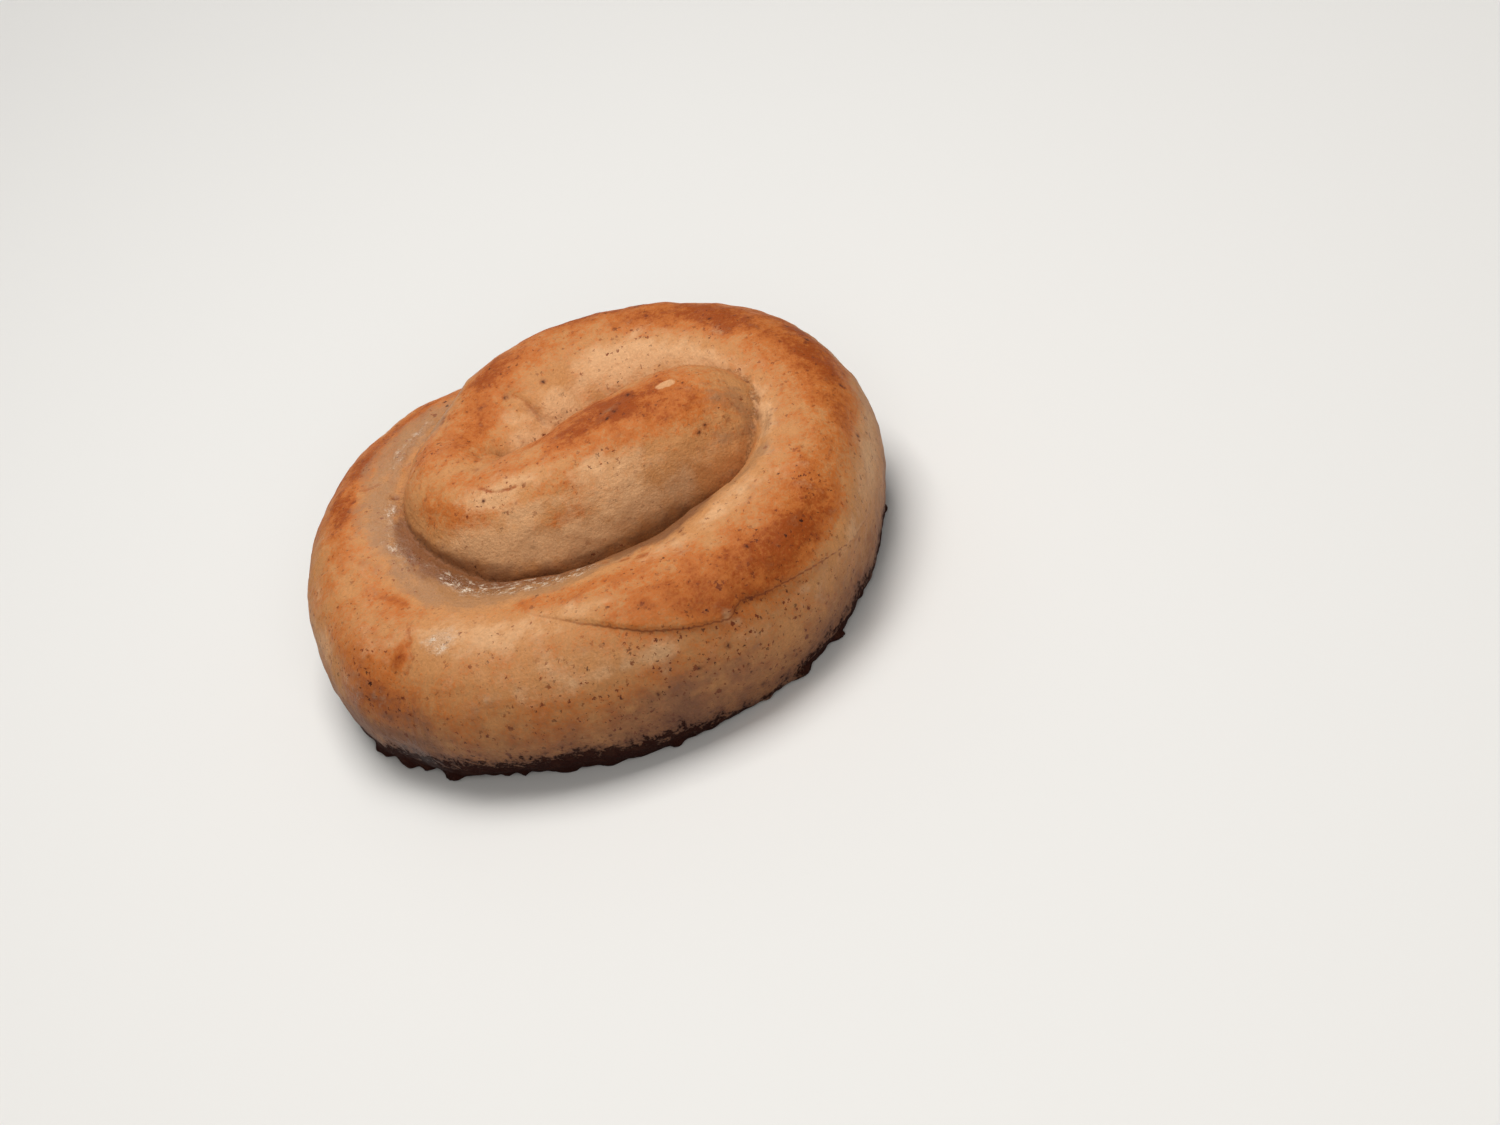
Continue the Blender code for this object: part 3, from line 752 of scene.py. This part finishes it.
def add_fields(mesh, roll):
    """Stores what the material needs to know of each place on the crust."""
    places = vertex_places(mesh)
    along, angle = roll.locate(places)
    zones = {"browning": BROWNING, "paleness_and_painted_light": PALENESS_AND_PAINTED_LIGHT, "oiliness": OILINESS,
             "wetness": WETNESS, "cleanness": CLEANNESS, "sootiness": SOOTINESS}
    for name, patches in zones.items():
        add_field(mesh, name, zone(along, angle, patches))
    # the groove's dark grease, with its shade painted in with it
    add_field(mesh, "groove_grease_and_shade", averaged(mesh, grease_and_shade_cover(along, angle), GREASE_AND_SHADE_ROUNDS))
    add_field(mesh, "burnt_edge", np.interp(along, *np.array(BURNT_EDGE).T))
    lowness = (DULL_ABOVE - turned(angle, 0.0)) / (DULL_ABOVE - DULL_BELOW)
    add_field(mesh, "dullness", np.interp(along, *np.array(DULLNESS).T) * ease(lowness))
    # how deep each place lies in a hollow, which the material darkens with painted shade
    add_field(mesh, "hollow", hollowness(mesh, HOLLOW_ROUNDS))
    add_field(mesh, "seam", np.clip(above_seam(along, angle) * MM_PER_DEGREE, -FAR, FAR))
    beyond = np.clip(np.abs(turned(angle, SEAM_CENTRE)) - SEAM_SPAN, 0.0, None)
    add_field(mesh, "seam_presence", seam_presence(along) * bell(beyond, SEAM_BLUR))
    line, strength = np.full(len(places), FAR), np.zeros(len(places))
    for points, width, _, darkness in CREASES:
        distance = np.abs(signed_distance(along, angle, points)) / width
        closer = distance < line
        line = np.where(closer, distance, line)
        strength = np.where(closer, darkness, strength)
    add_field(mesh, "crease", line)
    add_field(mesh, "crease_darkness", strength)
    flakes = np.zeros(len(places))
    for place, centre, length, span in FLAKES:
        out = np.hypot((along - place) / length, turned(angle, centre) / span)
        flakes = np.maximum(flakes, 1.0 - out)
    add_field(mesh, "flakes", flakes)
    spots = np.zeros(len(places))
    for place, centre, radius in SPOTS:
        i = int(np.argmin(np.abs(roll.along - place)))
        point = roll.section(i, np.radians(np.array([centre])))[0]
        distance = np.linalg.norm(places - point, axis=1)
        spots = np.maximum(spots, SPOT_REACH - distance / radius)
    add_field(mesh, "spots", spots)
    add_field(mesh, "along", along)
    add_field(mesh, "around", turned(angle, 90.0) * MM_PER_DEGREE)


class Shade:
    """Short ways to add shader nodes. A value is a number, a colour or another node's output."""

    def __init__(self, material, mesh):
        material.use_nodes = True
        self.tree = material.node_tree
        self.shader = self.tree.nodes["Principled BSDF"]
        self.known = {"one": 1.0}
        self.fields = mesh.attributes.keys()

    def put(self, socket, value):
        if isinstance(value, bpy.types.NodeSocket):
            self.tree.links.new(value, socket)
        elif isinstance(value, tuple) and len(value) == 3 and socket.type == "RGBA":
            socket.default_value = (*value, 1.0)
        else:
            socket.default_value = value

    def node(self, kind, inputs=(), **settings):
        made = self.tree.nodes.new("ShaderNode" + kind)
        for name, value in settings.items():
            setattr(made, name, value)
        for key, value in dict(inputs).items():
            self.put(made.inputs[key], value)
        return made

    def math(self, operation, *values):
        return self.node("Math", dict(enumerate(values)), operation=operation).outputs[0]

    def vector(self, operation, *values):
        keys = {"SCALE": (0, 3)}.get(operation, range(len(values)))
        return self.node("VectorMath", zip(keys, values), operation=operation).outputs[0]

    def total(self, *values):
        result = values[0]
        for value in values[1:]:
            result = self.math("ADD", result, value)
        return result

    def product(self, *values):
        result = values[0]
        for value in values[1:]:
            result = self.math("MULTIPLY", result, value)
        return result

    def step(self, value, low, high, start=0.0, end=1.0):
        """Goes smoothly from start to end as the value goes from low to high."""
        inputs = {"Value": value, "From Min": low, "From Max": high, "To Min": start, "To Max": end}
        return self.node("MapRange", inputs, interpolation_type="SMOOTHSTEP").outputs["Result"]

    def mix(self, share, first, second):
        """A colour between two. Sockets 6, 7 and 2 of the node are those for colours."""
        made = self.node("Mix", data_type="RGBA")
        self.put(made.inputs[0], share)
        self.put(made.inputs[6], first)
        self.put(made.inputs[7], second)
        return made.outputs[2]

    def noise(self, place, size, detail, roughness):
        """Noise from -0.5 to 0.5."""
        inputs = {"Vector": place, "Scale": 1.0 / size, "Detail": detail, "Roughness": roughness}
        return self.math("SUBTRACT", self.node("TexNoise", inputs).outputs["Fac"], 0.5)

    def specks(self, place, spacing, low, high, share):
        """Round specks of random size in a share of the cells of a Voronoi pattern."""
        cells = self.node("TexVoronoi", {"Vector": place, "Scale": 1.0 / spacing})
        draws = self.node("SeparateColor", {"Color": cells.outputs["Color"]})
        radius = self.step(draws.outputs[0], 1.0 - share, 1.0, low / spacing, high / spacing)
        chosen = self.math("GREATER_THAN", draws.outputs[0], 1.0 - share)
        inside = self.math("SUBTRACT", radius, cells.outputs["Distance"])
        return self.product(self.step(inside, 0.0, SPECK_BLUR * high / spacing), chosen)

    def value(self, name):
        """The value of that name, worked out when it is first asked for."""
        if name not in self.known:
            self.known[name] = self.work_out(name)
        return self.known[name]

    def work_out(self, name):
        """Looks the name up in the tables, and else among the fields of the mesh."""
        if name in SUMS:
            return self.total(*[self.weighted(*part) for part in SUMS[name].items()])
        if name in PRODUCTS:
            return self.product(*[self.value(factor) for factor in PRODUCTS[name]])
        if name in STEPS:
            followed, *limits = STEPS[name]
            return self.step(self.value(followed), *limits)
        if name not in self.fields:
            raise KeyError(name)
        return self.node("Attribute", attribute_name=name).outputs["Fac"]

    def weighted(self, name, weight):
        """The value of that name times a weight."""
        value = self.value(name)
        if weight == 1.0:
            return value
        return value * weight if isinstance(value, float) else self.product(value, weight)


def add_textures(shade):
    """Gives the shade its height above the base, its noises and its specks, in millimetres."""
    place = shade.vector("SCALE", shade.node("TexCoord").outputs["Object"], 1.0 / MM)
    shade.known["height"] = shade.node("SeparateXYZ", {0: place}).outputs[2]
    on_roll = shade.node("CombineXYZ", {0: shade.value("along"), 1: shade.value("around")})
    for name, (size, detail, roughness, scale) in NOISES.items():
        where = place
        if scale is not None:
            where = shade.vector("MULTIPLY", on_roll.outputs[0], (scale, 1.0, 1.0))
        shade.known[name] = shade.noise(where, size, detail, roughness)
    wobble = shade.node("TexNoise", {"Vector": place, "Scale": WOBBLE_SCALE, "Detail": 1.0})
    wobble = shade.vector("SUBTRACT", wobble.outputs["Color"], (0.5, 0.5, 0.5))
    where = shade.vector("ADD", place, shade.vector("SCALE", wobble, WOBBLE))
    for name, look in SPECKS.items():
        shade.known[name] = shade.specks(where, *look)


def crust_material(mesh):
    """The baked crust: coats of colour, gloss and fine relief, all worked out from the tables."""
    crust = bpy.data.materials.new("baked_crust")
    shade = Shade(crust, mesh)
    add_textures(shade)
    shade.known["seam_distance"] = shade.math("ABSOLUTE", shade.value("seam_mix"))
    colour = BISCUIT
    for name, cover, coat in COATS:
        colour = shade.mix(shade.weighted(name, cover), colour, coat)
    bump = shade.node("Bump", {"Height": shade.value("bumps"), "Distance": MM,
                               "Strength": BUMP_STRENGTH})
    inputs = {"Base Color": shade.vector("SCALE", colour, shade.value("lightness")),
              "Roughness": shade.value("roughness"),
              "Specular IOR Level": shade.math("MAXIMUM", shade.value("shine"), 0.0),
              "Normal": bump.outputs[0]}
    for name, value in inputs.items():
        shade.put(shade.shader.inputs[name], value)
    return crust


def make_crust():
    """The pastry as one mesh, which stands in for the solid."""
    roll = Roll()
    skin = with_modifiers(roll_mesh(roll),
                          ("REMESH", {"mode": "VOXEL", "voxel_size": VOXEL * MM}),
                          ("SMOOTH", SOFTENING))
    sculpt(skin, roll)
    ratio = TRIANGLES / (2 * len(skin.polygons))
    skin = with_modifiers(skin, ("DECIMATE", {"ratio": min(1.0, ratio)}))
    add_fields(skin, roll)
    skin.shade_smooth()
    skin.materials.append(crust_material(skin))
    piece = new_object("coiled_crust", skin)
    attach(piece, "root")
    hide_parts("burek")


def make_floor():
    mesh = bpy.data.meshes.new("floor")
    half = FLOOR_HALF
    mesh.from_pydata([(-half, -half, 0), (half, -half, 0), (half, half, 0), (-half, half, 0)],
                     [], [(0, 1, 2, 3)])
    paper = bpy.data.materials.new("pale_paper")
    paper.use_nodes = True
    shader = paper.node_tree.nodes["Principled BSDF"]
    shader.inputs["Base Color"].default_value = FLOOR_COLOUR
    shader.inputs["Roughness"].default_value = FLOOR_ROUGHNESS
    mesh.materials.append(paper)
    floor = new_object("floor", mesh)
    floor.location.z = -FLOOR_DROP


def make_light(name, place, size, power, colour):
    """A square soft light that points at the origin."""
    lamp = bpy.data.lights.new(name, "AREA")
    lamp.size = size
    lamp.energy = power
    lamp.color = colour
    item = new_object(name, lamp)
    item.location = place
    item.rotation_euler = (-Vector(place)).to_track_quat("-Z", "Y").to_euler()


def make_lights():
    for light in LIGHTS:
        make_light(*light)
    world = bpy.data.worlds.new("studio")
    bpy.context.scene.world = world
    world.use_nodes = True
    background = world.node_tree.nodes["Background"]
    background.inputs["Color"].default_value = WORLD_COLOUR
    background.inputs["Strength"].default_value = WORLD_STRENGTH
    bpy.context.scene.view_settings.view_transform = "Standard"


def make_camera():
    """Looks at the target so that it falls on its pixel of the image."""
    rise, turn = math.radians(ELEVATION), math.radians(TURN)
    back = Vector((0.0, -math.cos(rise), math.sin(rise)))
    place = Vector(TARGET) + DISTANCE * back
    right = Vector((1.0, 0.0, 0.0))
    up = right.cross(-back)
    across = math.cos(turn) * right - math.sin(turn) * up
    upward = math.sin(turn) * right + math.cos(turn) * up
    dx = (TARGET_PIXEL[0] - IMAGE[0] / 2) / FOCAL_PIXELS
    dy = (IMAGE[1] / 2 - TARGET_PIXEL[1]) / FOCAL_PIXELS
    forward = (-back - dx * across - dy * upward).normalized()
    across = (across - across.dot(forward) * forward).normalized()
    upward = across.cross(forward)
    camera = bpy.data.cameras.new("camera")
    camera.sensor_width = SENSOR
    camera.lens = SENSOR * FOCAL_PIXELS / IMAGE[0]
    camera.clip_start = CLIP_START
    item = new_object("camera", camera)
    columns = Matrix((across, upward, -forward)).transposed().to_4x4()
    item.matrix_world = Matrix.Translation(place) @ columns
    bpy.context.scene.camera = item


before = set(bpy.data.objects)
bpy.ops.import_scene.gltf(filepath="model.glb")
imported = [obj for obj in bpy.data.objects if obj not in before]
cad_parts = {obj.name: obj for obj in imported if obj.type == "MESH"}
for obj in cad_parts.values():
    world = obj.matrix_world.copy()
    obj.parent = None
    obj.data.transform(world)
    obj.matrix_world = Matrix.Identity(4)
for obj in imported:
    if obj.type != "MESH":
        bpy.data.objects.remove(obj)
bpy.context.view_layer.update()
make_crust()
make_floor()
make_lights()
make_camera()
